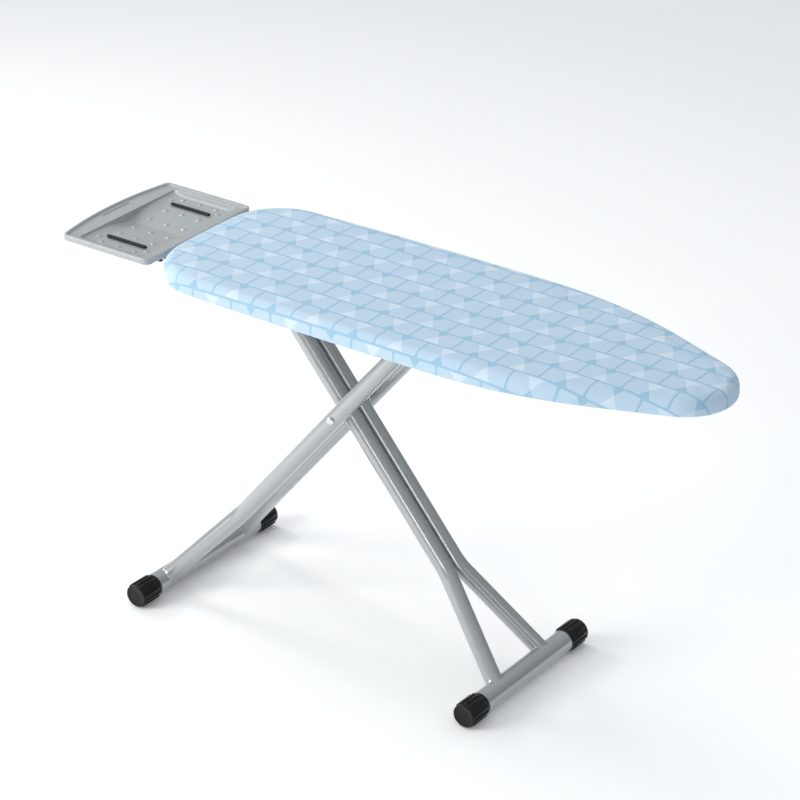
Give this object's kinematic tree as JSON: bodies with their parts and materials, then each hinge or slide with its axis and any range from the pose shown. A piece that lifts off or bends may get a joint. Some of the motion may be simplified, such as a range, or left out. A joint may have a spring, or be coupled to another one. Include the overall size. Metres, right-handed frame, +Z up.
{
  "type": "ironing board",
  "caption": "Free-standing ironing board: padded tapered board with a printed cover, iron rest at the square end, and a folding X stand of paired bent tubes on ribbed T feet.",
  "frame": {"origin": "centre of the bounding box's bottom face, on the floor", "axes": "+X along the board from the square end to the nose, +Y across the board, +Z up"},
  "size_m": [1.4642, 0.4446, 0.7779],
  "materials": {
    "cover_fabric": "printed cotton",
    "pad_felt": "felt",
    "board_steel": "satin powder coat",
    "leg_paint": "silver-grey gloss powder coat",
    "zinc_steel": "zinc plated",
    "chrome": "bright",
    "cap_plastic": "black moulded",
    "rest_plastic": "silver-grey moulded",
    "strip_rubber": "black silicone",
    "bush_nylon": "natural nylon"
  },
  "bodies": {
    "board": {"brace_end": "board_steel", "brace_hinge": "board_steel", "brace_latch": "board_steel", "brace_rail": "board_steel", "cover": "cover_fabric", "hinge_bracket": "zinc_steel", "hinge_pin": "zinc_steel", "lever_spring": "zinc_steel", "pad": "pad_felt", "rest_clip_end_brace_far": "cap_plastic", "rest_clip_end_brace_near": "cap_plastic", "rest_clip_hinge_brace_far": "cap_plastic", "rest_clip_hinge_brace_near": "cap_plastic", "rest_clip_inner_far": "cap_plastic", "rest_clip_inner_near": "cap_plastic", "rest_clip_outer_far": "cap_plastic", "rest_clip_outer_near": "cap_plastic", "rest_cross_rod": "zinc_steel", "rest_rod_far": "zinc_steel", "rest_rod_near": "zinc_steel", "rest_strip_far": "strip_rubber", "rest_strip_near": "strip_rubber", "rest_tray": "rest_plastic", "rim_frame": "board_steel", "slide_rail_far": "zinc_steel", "slide_rail_near": "zinc_steel", "top_panel": "board_steel"},
    "inner_leg": {"inner_foot_cap_far": "cap_plastic", "inner_foot_cap_near": "cap_plastic", "inner_foot_tube": "leg_paint", "inner_plug_far": "cap_plastic", "inner_plug_near": "cap_plastic", "inner_tube_far": "leg_paint", "inner_tube_near": "leg_paint"},
    "outer_leg": {"outer_foot_cap_far": "cap_plastic", "outer_foot_cap_near": "cap_plastic", "outer_foot_tube": "leg_paint", "outer_plug_far": "cap_plastic", "outer_plug_near": "cap_plastic", "outer_tube_far": "leg_paint", "outer_tube_near": "leg_paint", "pivot_bolt": "chrome", "pivot_bush_far": "bush_nylon", "pivot_bush_near": "bush_nylon", "pivot_nut": "chrome", "pivot_spacer": "bush_nylon", "slide_bar": "zinc_steel", "slide_roller_far": "bush_nylon", "slide_roller_near": "bush_nylon", "slide_spacer_far": "bush_nylon", "slide_spacer_near": "bush_nylon"},
    "lever": {"latch_comb": "zinc_steel", "lever_rod": "zinc_steel", "lever_grip": "cap_plastic"}
  },
  "joints": [
    {"name": "leg_fold", "type": "hinge", "parent": "board", "child": "inner_leg", "pos_m": [-0.2979, 0, 0.71189], "axis": [0, -1, 0], "range_deg": [-7, 47]},
    {"name": "leg_cross", "type": "hinge", "parent": "inner_leg", "child": "outer_leg", "pos_m": [-0.1136, 0, 0.49069], "axis": [0, 1, 0], "range_deg": [-14, 94]},
    {"name": "lever_lift", "type": "hinge", "parent": "board", "child": "lever", "pos_m": [-0.088, 0, 0.72989], "axis": [0, -1, 0], "range_deg": [-3, 6], "stiffness_Nm_per_rad": 6}
  ],
  "couplings": [
    {"joint": "leg_cross", "follows": "leg_fold", "ratio": 2}
  ]
}
